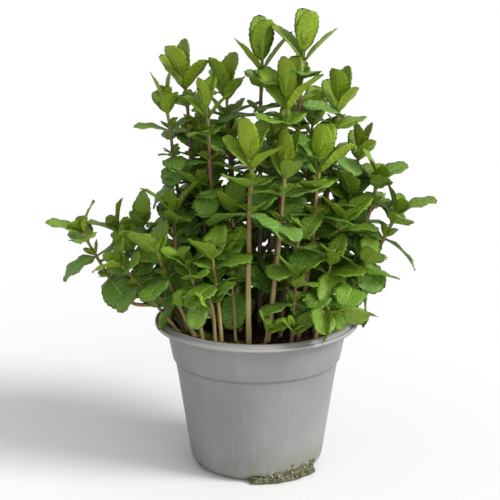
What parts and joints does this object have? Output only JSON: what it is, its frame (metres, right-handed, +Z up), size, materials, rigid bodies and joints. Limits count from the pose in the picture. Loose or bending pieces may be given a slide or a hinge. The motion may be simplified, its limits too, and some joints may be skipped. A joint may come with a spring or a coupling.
{
  "type": "potted mint plant",
  "caption": "Potted mint: a crowd of upright leafy mint shoots growing out of dark soil in a round, tapered grey plastic nursery pot that stands on its flat base.",
  "frame": {"origin": "centre of the pot's base, on the surface that it stands on", "axes": "+Z up along the pot's axis, -Y towards the front of the plant"},
  "size_m": [0.2442, 0.1672, 0.2935],
  "materials": {
    "pot_plastic": "satin",
    "soil": "matte",
    "roots": "matte",
    "mint": "satin",
    "dry_leaf": "matte",
    "moss": "matte"
  },
  "bodies": {
    "root": {"pot": "pot_plastic", "potting_soil": "soil", "root_clump": "roots", "tall_shoot_1": "mint", "tall_shoot_2": "mint", "tall_shoot_3": "mint", "tall_shoot_4": "mint", "tall_shoot_5": "mint", "tall_shoot_6": "mint", "tall_shoot_7": "mint", "tall_shoot_8": "mint", "tall_shoot_9": "mint", "tall_shoot_10": "mint", "tall_shoot_11": "mint", "tall_shoot_12": "mint", "tall_shoot_13": "mint", "tall_shoot_14": "mint", "side_shoot_1": "mint", "side_shoot_2": "mint", "side_shoot_3": "mint", "side_shoot_4": "mint", "side_shoot_5": "mint", "side_shoot_6": "mint", "runner": "mint", "middle_shoot_1": "mint", "middle_shoot_2": "mint", "middle_shoot_3": "mint", "middle_shoot_4": "mint", "middle_shoot_5": "mint", "middle_shoot_6": "mint", "middle_shoot_7": "mint", "middle_shoot_8": "mint", "middle_shoot_9": "mint", "middle_shoot_10": "mint", "back_shoot_1": "mint", "back_shoot_2": "mint", "back_shoot_3": "mint", "back_shoot_4": "mint", "back_shoot_5": "mint", "back_shoot_6": "mint", "back_shoot_7": "mint", "back_shoot_8": "mint", "sprout_1": "mint", "sprout_2": "mint", "sprout_3": "mint", "sprout_4": "mint", "sprout_5": "mint", "sprout_6": "mint", "sprout_7": "mint", "sprout_8": "mint", "sprout_9": "mint", "sprout_10": "mint", "sprout_11": "mint", "sprout_12": "mint", "fallen_leaf_1": "dry_leaf", "fallen_leaf_2": "dry_leaf", "fallen_leaf_3": "dry_leaf", "moss_1": "moss", "moss_2": "moss"}
  },
  "joints": []
}
